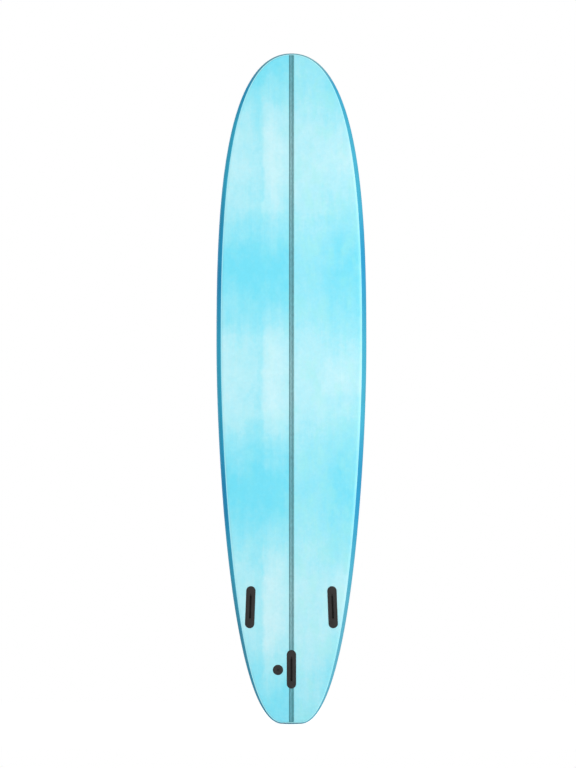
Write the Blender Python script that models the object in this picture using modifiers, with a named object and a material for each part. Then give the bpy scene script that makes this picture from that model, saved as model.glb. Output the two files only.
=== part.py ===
"""Nine-foot soft-top surfboard, modelled upright on its tail with the nose up.

X runs across the board, Y from the bottom face (-Y) to the deck (+Y), Z from the tail to the nose.
Left and right are as seen when looking at the bottom face. All sizes are in metres.
"""

import math

import bmesh
import bpy
from mathutils import Matrix, Vector

# Outline of the board, seen square on to the bottom
BOARD_LENGTH = 2.743
BOARD_WIDTH = 0.613
WIDE_POINT = 1.550
NOSE_HANDLE = 0.299
NOSE_SIDE_HANDLE = 0.461
TAIL_SIDE_HANDLE = 0.476
TAIL_HANDLE = 0.205
TAIL_BLOCK_WIDTH = 0.074
TAIL_BLOCK_CROWN = 0.0012

# Side profile
BOARD_THICKNESS = 0.086
NOSE_THICKNESS = 0.034
TAIL_THICKNESS = 0.036
THICK_POINT = 1.371
FOIL_POWER = 2.4
NOSE_ROCKER = 0.108
TAIL_ROCKER = 0.057
FLAT_SPOT = 1.234
NOSE_ROCKER_POWER = 2.6
TAIL_ROCKER_POWER = 2.2

# Cross-section: rail apex, rounding under and over it, crown of the deck
APEX_SHARE = 0.42
BOTTOM_TUCK = 0.030
BOTTOM_TUCK_END = 0.012
DECK_ROLL = 0.055
DECK_ROLL_END = 0.022
DECK_ROLL_POWER = 2.3
DECK_CROWN = 0.014
END_BLEND_POWER = 4

# Skins and seams
GAP = 0.0003
FOAM_SKIN = 0.0055
SLICK_SKIN = 0.0015
SLICK_INSET = 0.018
SLICK_INSET_NOSE = 0.0045
SLICK_INSET_TAIL = 0.0045
SLICK_BLEND_NOSE = 5.8
SLICK_BLEND_TAIL = 3.3
DECK_SEAM = 0.010
DECK_SEAM_END = 0.004

# Stringer, a pale slat between two dark veneers
STRINGER_SLAT = 0.015
STRINGER_VENEER = 0.003

# Fin boxes
PAD_WIDTH = 0.038
SIDE_PAD_LENGTH = 0.172
CENTRE_PAD_LENGTH = 0.158
PAD_THICKNESS = 0.0032
PAD_PROUD = 0.0008
PAD_BEVEL = 0.0007
BOX_WIDTH = 0.0214
BOX_DEPTH = 0.020
BOX_SETBACK = 0.0113
SLOT_LENGTH = 0.093
SLOT_WIDTH = 0.0075
SLOT_DEPTH = 0.016
CENTRE_SLOT_SHIFT = -0.003
SIDE_BOX_X = 0.168
SIDE_BOX_Z = 0.4785
SIDE_BOX_TOE_IN = math.radians(2.2)
CENTRE_BOX_Z = 0.2245

# Through bolts from the deck, each in a flanged ferrule
BOLT_MARGIN = 0.024
BOLT_RADIUS = 0.0025
BOLT_HEAD_RADIUS = 0.005
BOLT_HEAD_RIM = 0.0006
BOLT_HEAD_SUNK = 0.0006
BOLT_SOCKET_RADIUS = 0.0021
BOLT_SOCKET_DEPTH = 0.0024
BOLT_BITE = 0.013
FERRULE_FLANGE_RADIUS = 0.010
FERRULE_FLANGE_HEIGHT = 0.0072
FERRULE_SUNK = 0.0003
FERRULE_CHAMFER = 0.0010
FERRULE_BARREL_RADIUS = 0.0048
FERRULE_BARREL_LENGTH = 0.012

# Fin lock screw, tilted towards the slot
LOCK_RADIUS = 0.0020
LOCK_LENGTH = 0.0045
LOCK_TILT = math.radians(45)
LOCK_FROM_SLOT = 0.0046
LOCK_SUNK = 0.0022
LOCK_SOCKET_RADIUS = 0.0011
LOCK_SOCKET_DEPTH = 0.0018

# Leash plug
LEASH_X = -0.055
LEASH_Z = 0.222
LEASH_PLATE_RADIUS = 0.021
LEASH_PLATE_BEVEL = 0.0008
LEASH_SPIGOT_RADIUS = 0.0075
LEASH_SPIGOT_LENGTH = 0.005
LEASH_RIM_RADIUS = 0.019
LEASH_RIM_HEIGHT = 0.006
LEASH_RIM_SUNK = 0.0016
LEASH_RIM_BEVEL = 0.0012
LEASH_BODY_RADIUS = 0.015
LEASH_BODY_DEPTH = 0.022
LEASH_WALL = 0.003
LEASH_FLOOR = 0.004
LEASH_STEM_RADIUS = 0.0065
LEASH_SCREW_BITE = 0.012
LEASH_BAR_RADIUS = 0.00175
LEASH_BAR_DEPTH = 0.0062
LEASH_BAR_INSET = 0.0006

# Facets
TAIL_ROWS = 14
NOSE_ROWS = 14
ROW_BIAS = 1.25
ROUND_STEPS = 20
SMALL_STEPS = 16
PAD_END_STEPS = 10

# Grid columns of half a cross-section, from the middle of the bottom round the rail to the middle of the deck
BOTTOM_MIDDLE = 0
TUCK_START = 1
SLICK_EDGE = 2
RAIL_LOW_EDGE = 3
RAIL_HIGH_EDGE = 8
DECK_EDGE = 9
ROLL_START = 12
DECK_MIDDLE = 14
CROWN_SHARES = (0.55, 0.0)
TUCK_ANGLES = (45, 68)
ROLL_ANGLES = (72, 36, 18)

COLOURS = {
    "core_foam": ((0.86, 0.87, 0.85), 0.8, 0.0),
    "stringer_wood": ((0.42, 0.40, 0.31), 0.6, 0.0),
    "stringer_veneer": ((0.16, 0.20, 0.19), 0.6, 0.0),
    "deck_foam": ((0.10, 0.42, 0.62), 0.75, 0.0),
    "rail_foam": ((0.05, 0.30, 0.50), 0.7, 0.0),
    "slick": ((0.45, 0.86, 0.94), 0.25, 0.0),
    "black_nylon": ((0.045, 0.040, 0.038), 0.5, 0.0),
    "steel": ((0.62, 0.63, 0.64), 0.3, 1.0),
    "black_steel": ((0.03, 0.03, 0.03), 0.45, 1.0),
}


def clear_scene():
    for thing in list(bpy.data.objects):
        bpy.data.objects.remove(thing, do_unlink=True)


def new_collection(name):
    collection = bpy.data.collections.new(name)
    bpy.context.scene.collection.children.link(collection)
    return collection


def material(name):
    found = bpy.data.materials.get(name)
    if found:
        return found
    colour, roughness, metallic = COLOURS[name]
    made = bpy.data.materials.new(name)
    made.use_nodes = True
    made.diffuse_color = (*colour, 1.0)
    shader = made.node_tree.nodes["Principled BSDF"]
    shader.inputs["Base Color"].default_value = (*colour, 1.0)
    shader.inputs["Roughness"].default_value = roughness
    shader.inputs["Metallic"].default_value = metallic
    return made


def add_object(name, bm, collection, finish=None):
    """An object in the collection, made from a bmesh that is then freed."""
    mesh = bpy.data.meshes.new(name)
    bmesh.ops.recalc_face_normals(bm, faces=bm.faces[:])
    bm.to_mesh(mesh)
    bm.free()
    made = bpy.data.objects.new(name, mesh)
    collection.objects.link(made)
    if finish:
        mesh.materials.append(material(finish))
    return made


def make_cutter(thing):
    thing.hide_render = True
    thing.display_type = "WIRE"
    return thing


def cut(target, cutter):
    boolean = target.modifiers.new("cut_" + cutter.name, "BOOLEAN")
    boolean.operation = "DIFFERENCE"
    boolean.solver = "EXACT"
    boolean.object = cutter


def smooth(thing, degrees=35):
    thing.data.shade_smooth()
    thing.data.set_sharp_from_angle(angle=math.radians(degrees))


# Outline: two cubic curves that meet at the widest section
def bezier(points, t):
    """Point and direction on a cubic curve."""
    a, b, c, d = (Vector(p) for p in points)
    s = 1 - t
    point = a * s**3 + b * 3 * s * s * t + c * 3 * s * t * t + d * t**3
    direction = (b - a) * s * s + (c - b) * 2 * s * t + (d - c) * t * t
    return point, direction


def outline_rows():
    """Right-hand outline from tail to nose: (x, z) points with outward normals."""
    half = BOARD_WIDTH / 2
    block = TAIL_BLOCK_WIDTH / 2
    tail = (
        (block, TAIL_BLOCK_CROWN),
        (block + TAIL_HANDLE, TAIL_BLOCK_CROWN),
        (half, WIDE_POINT - TAIL_SIDE_HANDLE),
        (half, WIDE_POINT),
    )
    nose = (
        (0, BOARD_LENGTH),
        (NOSE_HANDLE, BOARD_LENGTH),
        (half, WIDE_POINT + NOSE_SIDE_HANDLE),
        (half, WIDE_POINT),
    )
    down, up = Vector((0, -1)), Vector((0, 1))
    rows = [(Vector((0, 0)), down), (Vector((GAP / 2, 0)), down)]
    for k in range(TAIL_ROWS):
        point, direction = bezier(tail, (k / TAIL_ROWS) ** ROW_BIAS)
        rows.append((point, Vector((direction.y, -direction.x)).normalized()))
    for k in range(NOSE_ROWS, 0, -1):
        point, direction = bezier(nose, (k / NOSE_ROWS) ** ROW_BIAS)
        rows.append((point, Vector((-direction.y, direction.x)).normalized()))
    rows.append((Vector((GAP / 2, BOARD_LENGTH)), up))
    rows.append((Vector((0, BOARD_LENGTH)), up))
    return rows


# Side profile
def rocker(z):
    """Height of the bottom's centre line over its flat spot, towards the deck."""
    if z > FLAT_SPOT:
        share = (z - FLAT_SPOT) / (BOARD_LENGTH - FLAT_SPOT)
        return NOSE_ROCKER * share**NOSE_ROCKER_POWER
    share = (FLAT_SPOT - z) / FLAT_SPOT
    return TAIL_ROCKER * share**TAIL_ROCKER_POWER


def foil(z):
    """Thickness on the centre line."""
    if z > THICK_POINT:
        end, share = NOSE_THICKNESS, (z - THICK_POINT) / (BOARD_LENGTH - THICK_POINT)
    else:
        end, share = TAIL_THICKNESS, (THICK_POINT - z) / THICK_POINT
    return BOARD_THICKNESS - (BOARD_THICKNESS - end) * share**FOIL_POWER


def along(z, end, middle, power=END_BLEND_POWER):
    """A size that grows from the board's ends to its middle."""
    return end + (middle - end) * (1 - abs(2 * z / BOARD_LENGTH - 1) ** power)


def slick_inset(z):
    if z > BOARD_LENGTH / 2:
        return along(z, SLICK_INSET_NOSE, SLICK_INSET, SLICK_BLEND_NOSE)
    return along(z, SLICK_INSET_TAIL, SLICK_INSET, SLICK_BLEND_TAIL)


def bottom_height(z, inset, tuck):
    reach = 1 - min(inset / tuck, 1)
    return rocker(z) + APEX_SHARE * foil(z) * (1 - math.sqrt(1 - reach * reach))


def deck_height(x, z, inset=1.0, roll=1.0):
    apex = APEX_SHARE * foil(z)
    crown = DECK_CROWN * (2 * x / BOARD_WIDTH) ** 2
    reach = 1 - min(inset / roll, 1)
    rise = (1 - reach**DECK_ROLL_POWER) ** (1 / DECK_ROLL_POWER)
    return rocker(z) + apex + (foil(z) - apex - crown) * rise


def half_section(point, normal):
    """Points from the middle of the bottom, round the right-hand rail, to the middle of the deck."""
    tuck = along(point.y, BOTTOM_TUCK_END, BOTTOM_TUCK)
    roll = along(point.y, DECK_ROLL_END, DECK_ROLL)
    slick = slick_inset(point.y)
    seam = along(point.y, DECK_SEAM_END, DECK_SEAM)

    def under(inset, share=1.0):
        place = point - normal * inset
        x = place.x * share
        return Vector((x, bottom_height(place.y, inset, tuck), place.y))

    def over(inset, share=1.0):
        place = point - normal * inset
        x = place.x * share
        return Vector((x, deck_height(x, place.y, inset, roll), place.y))

    tuck_insets = [tuck * (1 - math.sin(math.radians(a))) for a in TUCK_ANGLES]
    first_roll, *more_rolls = [roll * (1 - math.sin(math.radians(a))) for a in ROLL_ANGLES]
    section = [under(tuck, 0.0), under(tuck), under(slick + GAP / 2), under(slick - GAP / 2)]
    section += [under(inset) for inset in tuck_insets]
    section += [over(0), over(first_roll), over(seam - GAP / 2), over(seam + GAP / 2)]
    section += [over(inset) for inset in more_rolls]
    section += [over(roll)] + [over(roll, share) for share in CROWN_SHARES]
    return section


class BoardSurface:
    """The board's outer surface as a grid of points with normals, from which every skin is offset."""

    def __init__(self):
        outline = outline_rows()
        self.sections = [half_section(point, normal) for point, normal in outline]
        self.last_row = len(outline) - 1
        self.whole_rows = [0, *range(2, self.last_row - 1), self.last_row]
        self.side_rows = list(range(1, self.last_row))
        heights = [corner.y for section in self.sections for corner in section]
        self.shift = -(min(heights) + max(heights)) / 2
        self.points = {}
        self.normals = {}
        self.measure_normals()

    def corner(self, row, column, side):
        """Key of a grid corner. On the centre line both sides share one corner."""
        if row in (0, self.last_row):
            column = min(max(column, TUCK_START), ROLL_START)
            side = 1
        if column in (BOTTOM_MIDDLE, DECK_MIDDLE):
            side = 1
        return row, column, side

    def measure_normals(self):
        bm = bmesh.new()
        rows = list(range(self.last_row + 1))
        stack = [(column, 0.0) for column in range(DECK_MIDDLE + 1)]
        corners = {}
        for loop in self.loops(rows, stack, (1, -1)):
            for key in loop:
                if key not in corners:
                    row, column, side, _ = key
                    place = self.sections[row][column]
                    corners[key] = bm.verts.new((place.x * side, place.y + self.shift, place.z))
            bm.faces.new([corners[key] for key in loop])
        bm.normal_update()
        for (row, column, side, _), vertex in corners.items():
            normal = vertex.normal.copy()
            if abs(vertex.co.x) < 1e-9:
                normal.x = 0
                normal.normalize()
            self.points[row, column, side] = vertex.co.copy()
            self.normals[row, column, side] = normal
        bm.free()
        # Both edges of a seam share a direction, so that its gap is the same all the way in
        for row, column, side in list(self.normals):
            for low, high in ((SLICK_EDGE, RAIL_LOW_EDGE), (RAIL_HIGH_EDGE, DECK_EDGE)):
                if column == low:
                    mean = self.normals[row, low, side] + self.normals[row, high, side]
                    self.normals[row, low, side] = mean.normalized()
                    self.normals[row, high, side] = mean.normalized()
        for row, column, side in list(self.normals):
            for end, near in ((0, 1), (self.last_row, self.last_row - 1)):
                if row == near:
                    self.normals[row, column, side] = self.normals[self.corner(end, column, side)].copy()

    def loops(self, rows, stack, sides):
        """Corner loops of the faces over some rows and (column, depth) pairs, facing outwards."""
        for side in sides:
            for low, high in zip(rows, rows[1:]):
                for (column, depth), (next_column, next_depth) in zip(stack, stack[1:]):
                    ring = (
                        (*self.corner(low, column, side), depth),
                        (*self.corner(low, next_column, side), next_depth),
                        (*self.corner(high, next_column, side), next_depth),
                        (*self.corner(high, column, side), depth),
                    )
                    ring = list(dict.fromkeys(ring))
                    if len(ring) > 2:
                        yield ring if side > 0 else ring[::-1]

    def place(self, key):
        *corner, depth = key
        return self.points[tuple(corner)] - self.normals[tuple(corner)] * depth

    def closed_layer(self, stack):
        """A closed bmesh under the surface, at a depth for each column."""
        bm = bmesh.new()
        corners = {}
        for loop in self.loops(self.whole_rows, stack, (1, -1)):
            for key in loop:
                if key not in corners:
                    corners[key] = bm.verts.new(self.place(key))
            bm.faces.new([corners[key] for key in loop])
        return bm

    def sheet(self, rows, columns, sides, thickness):
        """A sheet that lies on the surface's inside, as a closed bmesh with rims at its edges."""
        bm = bmesh.new()
        corners = {}
        edges = set()

        def corner(key, depth):
            name = (*key[:3], depth)
            if name not in corners:
                corners[name] = bm.verts.new(self.place(name))
            return corners[name]

        for loop in self.loops(rows, [(column, 0.0) for column in columns], sides):
            bm.faces.new([corner(key, 0.0) for key in loop])
            bm.faces.new([corner(key, thickness) for key in reversed(loop)])
            edges.update(zip(loop, loop[1:] + loop[:1]))
        for first, second in edges:
            if (second, first) not in edges:
                rim = (corner(second, 0.0), corner(first, 0.0))
                rim += (corner(first, thickness), corner(second, thickness))
                bm.faces.new(rim)
        return bm


def slice_of(blank, low, high):
    """The part of the blank between two planes across X, closed on both."""
    bm = blank.copy()
    for x, keep in ((low, 1), (high, -1)):
        if x is None:
            continue
        everything = bm.verts[:] + bm.edges[:] + bm.faces[:]
        bmesh.ops.bisect_plane(
            bm, geom=everything, dist=1e-7, plane_co=(x, 0, 0), plane_no=(keep, 0, 0), clear_inner=True
        )
        rim = [edge for edge in bm.edges if edge.is_boundary]
        bmesh.ops.holes_fill(bm, edges=rim)
    return bm


# Small parts, each made in a frame whose +Z leaves the bottom face square and +Y runs to the nose
def bottom_frame(x, z, shift, turn=0.0):
    step = 1e-4
    slope = (rocker(z + step) - rocker(z - step)) / (2 * step)
    lengthwise = Vector((0, slope, 1)).normalized()
    outwards = Vector((0, -1, slope)).normalized()
    across = lengthwise.cross(outwards)
    axes = Matrix((across, lengthwise, outwards)).transposed().to_4x4()
    place = Matrix.Translation((x, rocker(z) + shift, z))
    return place @ axes @ Matrix.Rotation(turn, 4, "Z")


def depth_to_deck(frame, shift):
    """Distance from a frame's origin, along its inward axis, to the deck."""
    low, high = 0.0, 2 * BOARD_THICKNESS
    for _ in range(40):
        middle = (low + high) / 2
        place = frame @ Vector((0, 0, -middle))
        if place.y < deck_height(place.x, place.z) + shift:
            low = middle
        else:
            high = middle
    return low


def turned(name, profile, collection, finish=None, steps=ROUND_STEPS):
    """A turned piece from (radius, height) points that run down its outer side.

    A profile that starts off the axis is a ring's, and closes on itself.
    """
    bm = bmesh.new()
    corners = [bm.verts.new((radius, 0, height)) for radius, height in profile]
    for first, second in zip(corners, corners[1:]):
        bm.edges.new((first, second))
    if profile[0][0] > 0:
        bm.edges.new((corners[-1], corners[0]))
    mesh = bpy.data.meshes.new(name)
    bm.to_mesh(mesh)
    bm.free()
    made = bpy.data.objects.new(name, mesh)
    collection.objects.link(made)
    if finish:
        mesh.materials.append(material(finish))
    screw = made.modifiers.new("turn", "SCREW")
    screw.axis = "Z"
    screw.angle = math.tau
    screw.steps = steps
    screw.render_steps = steps
    screw.use_merge_vertices = True
    screw.merge_threshold = 0.00001
    screw.use_smooth_shade = False
    return made


def stadium(name, length, width, low, high, collection, finish=None, bevel=0.0):
    """A flat bar with round ends along Y, between two heights, with its upper edge bevelled."""
    bm = bmesh.new()
    radius = width / 2
    corners = []
    for end in (1, -1):
        for k in range(PAD_END_STEPS + 1):
            angle = math.pi * k / PAD_END_STEPS
            x = end * radius * math.cos(angle)
            y = end * (length / 2 - radius + radius * math.sin(angle))
            corners.append(bm.verts.new((x, y, low)))
    bm.faces.new(corners)
    wall = bmesh.ops.extrude_face_region(bm, geom=bm.faces[:])
    raised = [item for item in wall["geom"] if isinstance(item, bmesh.types.BMVert)]
    bmesh.ops.translate(bm, verts=raised, vec=(0, 0, high - low))
    if bevel:
        top = [edge for edge in bm.edges if all(abs(v.co.z - high) < 1e-7 for v in edge.verts)]
        bmesh.ops.bevel(bm, geom=top, offset=bevel, segments=1, profile=0.5, affect="EDGES", material=-1)
    return add_object(name, bm, collection, finish)


def hex_cutter(name, radius, low, high, collection):
    bm = bmesh.new()
    bmesh.ops.create_cone(
        bm, cap_ends=True, segments=6, radius1=radius, radius2=radius, depth=high - low
    )
    bmesh.ops.translate(bm, verts=bm.verts[:], vec=(0, 0, (high + low) / 2))
    return make_cutter(add_object(name, bm, collection))


def bolt_profile(head, tip, way):
    """Countersunk bolt from its head to its tip. way is 1 where the tip is over the head, else -1."""
    neck = head + way * (BOLT_HEAD_RIM + BOLT_HEAD_RADIUS - BOLT_RADIUS)
    chamfer = BOLT_RADIUS / 3
    profile = [
        (0, tip),
        (BOLT_RADIUS - chamfer, tip),
        (BOLT_RADIUS, tip - way * chamfer),
        (BOLT_RADIUS, neck),
        (BOLT_HEAD_RADIUS, head + way * BOLT_HEAD_RIM),
        (BOLT_HEAD_RADIUS, head),
        (0, head),
    ]
    return profile[::way]


def countersink(head, way):
    """Upper and lower edge of a countersink round a bolt's head, clear of it all round."""
    rim = head + way * (BOLT_HEAD_RIM + GAP * (math.sqrt(2) - 1))
    return rim, rim + way * (BOLT_HEAD_RADIUS - BOLT_RADIUS)


def bolt_socket(name, head, way, cutters):
    floor = head + way * BOLT_SOCKET_DEPTH
    low, high = sorted((floor, head - way * BOLT_HEAD_RADIUS))
    return hex_cutter(name, BOLT_SOCKET_RADIUS, low, high, cutters)


def ferrule_profile(face, head):
    """Flanged ferrule, flange at the deck and barrel towards the bottom, countersunk for the bolt."""
    rim, neck = countersink(head, 1)
    under_flange = face + FERRULE_FLANGE_HEIGHT
    mouth = under_flange + FERRULE_BARREL_LENGTH
    return [
        (FERRULE_BARREL_RADIUS, mouth),
        (FERRULE_BARREL_RADIUS, under_flange),
        (FERRULE_FLANGE_RADIUS, under_flange),
        (FERRULE_FLANGE_RADIUS, face + FERRULE_CHAMFER),
        (FERRULE_FLANGE_RADIUS - FERRULE_CHAMFER, face),
        (BOLT_HEAD_RADIUS + GAP, face),
        (BOLT_HEAD_RADIUS + GAP, rim),
        (BOLT_RADIUS + GAP, neck),
        (BOLT_RADIUS + GAP, mouth),
    ]


def ferrule_seat_profile(face):
    """Stepped hole from over the deck, for the ferrule and then the bolt, into the fin box's pocket."""
    under_flange = face + FERRULE_FLANGE_HEIGHT + GAP
    mouth = under_flange + FERRULE_BARREL_LENGTH
    return [
        (0, -BOX_DEPTH / 2),
        (BOLT_RADIUS + GAP, -BOX_DEPTH / 2),
        (BOLT_RADIUS + GAP, mouth),
        (FERRULE_BARREL_RADIUS + GAP, mouth),
        (FERRULE_BARREL_RADIUS + GAP, under_flange),
        (FERRULE_FLANGE_RADIUS + GAP, under_flange),
        (FERRULE_FLANGE_RADIUS + GAP, face - FERRULE_FLANGE_RADIUS),
        (0, face - FERRULE_FLANGE_RADIUS),
    ]


def fin_box(side, frame, pad_length, slot_shift, shift, hosts, parts, cutters):
    """A fin box with its bolts, ferrules and lock screw. hosts are the pieces that it is let into."""
    body_length = pad_length - 2 * BOX_SETBACK
    pad_back = PAD_PROUD - PAD_THICKNESS
    pad = stadium(
        "fin_box_" + side, pad_length, PAD_WIDTH, pad_back, PAD_PROUD, parts, "black_nylon", PAD_BEVEL
    )
    body = stadium("body_" + side, body_length, BOX_WIDTH, -BOX_DEPTH, PAD_PROUD / 2, cutters)
    make_cutter(body)
    join = pad.modifiers.new("join_body", "BOOLEAN")
    join.operation = "UNION"
    join.solver = "EXACT"
    join.object = body
    slot = make_cutter(
        stadium("slot_" + side, SLOT_LENGTH, SLOT_WIDTH, PAD_PROUD - SLOT_DEPTH, PAD_BEVEL * 5, cutters)
    )
    slot.data.transform(Matrix.Translation((0, slot_shift, 0)))
    cut(pad, slot)
    recess = make_cutter(
        stadium(
            "recess_" + side, pad_length + 2 * GAP, PAD_WIDTH + 2 * GAP, pad_back - GAP, PAD_WIDTH, cutters
        )
    )
    pocket = make_cutter(
        stadium(
            "pocket_" + side, body_length + 2 * GAP, BOX_WIDTH + 2 * GAP, -BOX_DEPTH - GAP, PAD_WIDTH, cutters
        )
    )
    cut(hosts["skin"], recess)
    for piece in hosts["blank"]:
        cut(piece, recess)
    for piece in hosts["pocketed"]:
        cut(piece, pocket)
    placed = [pad, body, slot, recess, pocket]

    tip = BOLT_BITE - BOX_DEPTH
    for end, sign in (("front", 1), ("rear", -1)):
        name = side + "_" + end
        spot = frame @ Matrix.Translation((0, sign * (pad_length / 2 - BOLT_MARGIN), 0))
        face = FERRULE_SUNK - depth_to_deck(spot, shift)
        head = face + BOLT_HEAD_SUNK
        ferrule = turned(
            "deck_ferrule_" + name, ferrule_profile(face, head), parts, "black_nylon", SMALL_STEPS
        )
        bolt = turned("fin_bolt_" + name, bolt_profile(head, tip, 1), parts, "black_steel", SMALL_STEPS)
        socket = bolt_socket("bolt_socket_" + name, head, 1, cutters)
        cut(bolt, socket)
        bore = [
            (0, tip + GAP),
            (BOLT_RADIUS + GAP, tip + GAP),
            (BOLT_RADIUS + GAP, -BOX_DEPTH - BOLT_BITE),
            (0, -BOX_DEPTH - BOLT_BITE),
        ]
        thread = make_cutter(turned("thread_" + name, bore, cutters, steps=SMALL_STEPS))
        cut(pad, thread)
        seat = make_cutter(
            turned("ferrule_seat_" + name, ferrule_seat_profile(face), cutters, steps=SMALL_STEPS)
        )
        cut(hosts["deck"], seat)
        for piece in hosts["bolted"]:
            cut(piece, seat)
        for thing in (ferrule, bolt, socket, thread, seat):
            thing.matrix_world = spot

    mouth = slot_shift + SLOT_LENGTH / 2 + LOCK_FROM_SLOT
    tilt = Matrix.Translation((0, mouth, PAD_PROUD)) @ Matrix.Rotation(-LOCK_TILT, 4, "X")
    top = -LOCK_SUNK
    low = top - LOCK_LENGTH
    lock = turned(
        "fin_lock_screw_" + side,
        [(0, top), (LOCK_RADIUS, top), (LOCK_RADIUS, low), (0, low)],
        parts,
        "black_steel",
        SMALL_STEPS,
    )
    key = hex_cutter("lock_socket_" + side, LOCK_SOCKET_RADIUS, top - LOCK_SOCKET_DEPTH, 0.0, cutters)
    cut(lock, key)
    hole = turned(
        "lock_hole_" + side,
        [
            (0, LOCK_LENGTH),
            (LOCK_RADIUS + GAP, LOCK_LENGTH),
            (LOCK_RADIUS + GAP, low - GAP),
            (0, low - GAP),
        ],
        cutters,
        steps=SMALL_STEPS,
    )
    cut(pad, make_cutter(hole))
    for thing in (lock, key, hole):
        thing.matrix_world = frame @ tilt
    for thing in placed:
        thing.matrix_world = frame


def leash_plug(frame, shift, hosts, parts, cutters):
    """Cup in the deck with its cross bar, tied to the plate on the bottom by a screw."""
    face = LEASH_RIM_SUNK - depth_to_deck(frame, shift)
    plate_back = PAD_PROUD - PAD_THICKNESS
    spigot_end = plate_back - LEASH_SPIGOT_LENGTH
    stem_end = spigot_end - GAP
    rim_back = face + LEASH_RIM_HEIGHT
    body_end = face + LEASH_BODY_DEPTH
    cavity = LEASH_BODY_RADIUS - LEASH_WALL
    floor = body_end - LEASH_FLOOR
    head = PAD_PROUD - BOLT_HEAD_SUNK
    tip = stem_end - LEASH_SCREW_BITE
    bore = BOLT_RADIUS + GAP
    cup = turned(
        "leash_cup",
        [
            (0, tip - GAP),
            (bore, tip - GAP),
            (bore, stem_end),
            (LEASH_STEM_RADIUS, stem_end),
            (LEASH_STEM_RADIUS, body_end),
            (LEASH_BODY_RADIUS, body_end),
            (LEASH_BODY_RADIUS, rim_back),
            (LEASH_RIM_RADIUS, rim_back),
            (LEASH_RIM_RADIUS, face + LEASH_RIM_BEVEL),
            (LEASH_RIM_RADIUS - LEASH_RIM_BEVEL, face),
            (cavity, face),
            (cavity, floor),
            (0, floor),
        ],
        parts,
        "black_nylon",
    )
    cup_seat = turned(
        "leash_cup_seat",
        [
            (0, stem_end + GAP),
            (LEASH_STEM_RADIUS + GAP, stem_end + GAP),
            (LEASH_STEM_RADIUS + GAP, body_end + GAP),
            (LEASH_BODY_RADIUS + GAP, body_end + GAP),
            (LEASH_BODY_RADIUS + GAP, rim_back + GAP),
            (LEASH_RIM_RADIUS + GAP, rim_back + GAP),
            (LEASH_RIM_RADIUS + GAP, face - LEASH_RIM_RADIUS),
            (0, face - LEASH_RIM_RADIUS),
        ],
        cutters,
    )
    plate = turned(
        "leash_base_plate",
        [
            (0, PAD_PROUD),
            (LEASH_PLATE_RADIUS - LEASH_PLATE_BEVEL, PAD_PROUD),
            (LEASH_PLATE_RADIUS, PAD_PROUD - LEASH_PLATE_BEVEL),
            (LEASH_PLATE_RADIUS, plate_back),
            (LEASH_SPIGOT_RADIUS, plate_back),
            (LEASH_SPIGOT_RADIUS, spigot_end),
            (0, spigot_end),
        ],
        parts,
        "black_nylon",
    )
    rim, neck = countersink(head, -1)
    plate_hole = turned(
        "leash_screw_hole",
        [
            (0, LEASH_PLATE_RADIUS),
            (BOLT_HEAD_RADIUS + GAP, LEASH_PLATE_RADIUS),
            (BOLT_HEAD_RADIUS + GAP, rim),
            (BOLT_RADIUS + GAP, neck),
            (BOLT_RADIUS + GAP, tip),
            (0, tip),
        ],
        cutters,
        steps=SMALL_STEPS,
    )
    plate_seat = turned(
        "leash_plate_seat",
        [
            (0, LEASH_PLATE_RADIUS),
            (LEASH_PLATE_RADIUS + GAP, LEASH_PLATE_RADIUS),
            (LEASH_PLATE_RADIUS + GAP, plate_back - GAP),
            (LEASH_SPIGOT_RADIUS + GAP, plate_back - GAP),
            (LEASH_SPIGOT_RADIUS + GAP, spigot_end - GAP),
            (0, spigot_end - GAP),
        ],
        cutters,
    )
    screw = turned("leash_screw", bolt_profile(head, tip, -1), parts, "black_steel", SMALL_STEPS)
    socket = bolt_socket("leash_screw_socket", head, -1, cutters)
    half_bar = LEASH_BODY_RADIUS - LEASH_BAR_INSET
    bar_lie = Matrix.Translation((0, 0, face + LEASH_BAR_DEPTH)) @ Matrix.Rotation(math.pi / 2, 4, "Y")
    bar = turned(
        "leash_bar",
        [(0, half_bar), (LEASH_BAR_RADIUS, half_bar), (LEASH_BAR_RADIUS, -half_bar), (0, -half_bar)],
        parts,
        "steel",
        SMALL_STEPS,
    )
    bar_hole = turned(
        "leash_bar_hole",
        [
            (0, LEASH_RIM_RADIUS),
            (LEASH_BAR_RADIUS + GAP / 2, LEASH_RIM_RADIUS),
            (LEASH_BAR_RADIUS + GAP / 2, -LEASH_RIM_RADIUS),
            (0, -LEASH_RIM_RADIUS),
        ],
        cutters,
        steps=SMALL_STEPS,
    )
    cut(cup, make_cutter(bar_hole))
    cut(plate, make_cutter(plate_hole))
    cut(screw, socket)
    for piece in (hosts["deck"], hosts["core"]):
        cut(piece, make_cutter(cup_seat))
    for piece in (hosts["skin"], hosts["core"]):
        cut(piece, make_cutter(plate_seat))
    for thing in (cup, cup_seat, plate, plate_hole, plate_seat, screw, socket):
        thing.matrix_world = frame
    for thing in (bar, bar_hole):
        thing.matrix_world = frame @ bar_lie


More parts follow.
